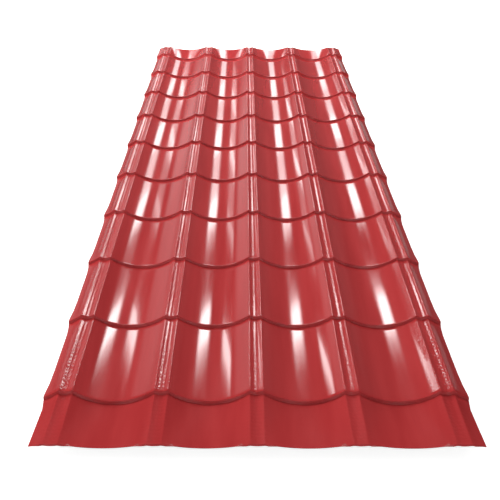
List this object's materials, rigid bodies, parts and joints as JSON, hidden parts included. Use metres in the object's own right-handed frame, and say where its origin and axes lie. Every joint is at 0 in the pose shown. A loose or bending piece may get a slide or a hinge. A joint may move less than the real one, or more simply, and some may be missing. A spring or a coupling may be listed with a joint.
{
  "type": "tile effect metal roofing sheet",
  "caption": "Long red painted metal roofing sheet, rolled into wide pans between double-ridged crests and pressed into steps that look like rows of tiles.",
  "frame": {"origin": "under the middle of the sheet, on the level surface that it lies on", "axes": "+X across the sheet, +Y up the roof along the sheet, +Z out of the painted side; the steps face -Y"},
  "size_m": [0.938, 3.5, 0.0364],
  "materials": {
    "painted_steel": "gloss"
  },
  "bodies": {
    "root": {"roofing_sheet": "painted_steel"}
  },
  "joints": []
}
